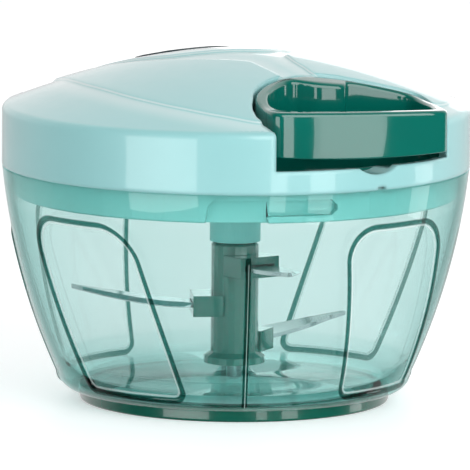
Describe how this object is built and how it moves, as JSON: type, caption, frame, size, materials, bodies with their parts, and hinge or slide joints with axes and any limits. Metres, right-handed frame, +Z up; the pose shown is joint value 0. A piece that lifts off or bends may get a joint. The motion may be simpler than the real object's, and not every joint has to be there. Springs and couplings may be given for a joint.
{
  "type": "food chopper",
  "caption": "Hand-pulled food chopper: clear bowl on a non-slip ring, domed lid holding a cord reel, D-shaped pull handle, and curved blades on a spindle.",
  "frame": {"origin": "on the surface the chopper stands on, below the middle of the bowl", "axes": "+Z up; the front, where the pull handle is, looks along -Y; the handle pulls out 22 degrees to the right of -Y, towards +X"},
  "size_m": [0.125, 0.125, 0.0941],
  "materials": {
    "clear_styrene": "clear, slightly aqua, polished",
    "green_elastomer": "satin",
    "steel": "satin",
    "blade_steel": "polished with a ground edge",
    "green_abs": "gloss",
    "aqua_abs": "satin to gloss",
    "silicone": "matte",
    "dark_badge": "gloss",
    "nylon_cord": "braided",
    "white_acetal": "satin",
    "spring_steel": "satin"
  },
  "bodies": {
    "bowl": {"bowl": "clear_styrene", "base_ring": "green_elastomer", "bowl_pin": "steel"},
    "lid": {"lid_cover": "aqua_abs", "lid_plate": "aqua_abs", "lid_seal": "silicone", "top_badge": "dark_badge", "cord_eyelet": "steel", "reel_axle": "steel", "lid_screw_1": "steel", "lid_screw_2": "steel", "lid_screw_3": "steel", "lid_screw_4": "steel", "lid_screw_5": "steel"},
    "handle": {"pull_handle": "green_abs", "cord_run": "nylon_cord"},
    "reel": {"reel": "white_acetal", "cord_winding": "nylon_cord", "return_spring": "spring_steel"},
    "drive": {"drive_hub": "white_acetal"},
    "pawl_a": {"pawl_1": "steel"},
    "pawl_b": {"pawl_2": "steel"},
    "blades": {"blade_spindle": "green_abs", "blade_lower": "blade_steel", "blade_middle": "blade_steel", "blade_upper": "blade_steel"}
  },
  "joints": [
    {"name": "lid_twist", "type": "hinge", "parent": "bowl", "child": "lid", "pos_m": [0, 0, 0.063], "axis": [0, 0, 1], "range_deg": [0, 21]},
    {"name": "handle_pull", "type": "slide", "parent": "lid", "child": "handle", "axis": [0.3746, -0.9272, 0], "range_m": [0, 0.28], "stiffness_N_per_m": 20, "springref_m": -0.1, "deforming": ["cord_run"]},
    {"name": "reel_turn", "type": "hinge", "parent": "lid", "child": "reel", "pos_m": [0, 0, 0.076], "axis": [0, 0, -1], "range_deg": [0, 1284], "deforming": ["return_spring"]},
    {"name": "drive_turn", "type": "hinge", "parent": "lid", "child": "drive", "pos_m": [0, 0, 0.055], "axis": [0, 0, -1], "continuous": true},
    {"name": "blade_turn", "type": "hinge", "parent": "bowl", "child": "blades", "pos_m": [0, 0, 0.012], "axis": [0, 0, -1], "continuous": true},
    {"name": "pawl_a_swing", "type": "hinge", "parent": "drive", "child": "pawl_a", "pos_m": [0, -0.0085, 0.064], "axis": [0, 0, 1], "range_deg": [0, 8]},
    {"name": "pawl_b_swing", "type": "hinge", "parent": "drive", "child": "pawl_b", "pos_m": [0, 0.0085, 0.064], "axis": [0, 0, 1], "range_deg": [0, 8]}
  ],
  "couplings": [
    {"joint": "reel_turn", "follows": "handle_pull", "rad_per_m": 80},
    {"joint": "drive_turn", "follows": "handle_pull", "rad_per_m": 80},
    {"joint": "blade_turn", "follows": "handle_pull", "rad_per_m": 80}
  ]
}
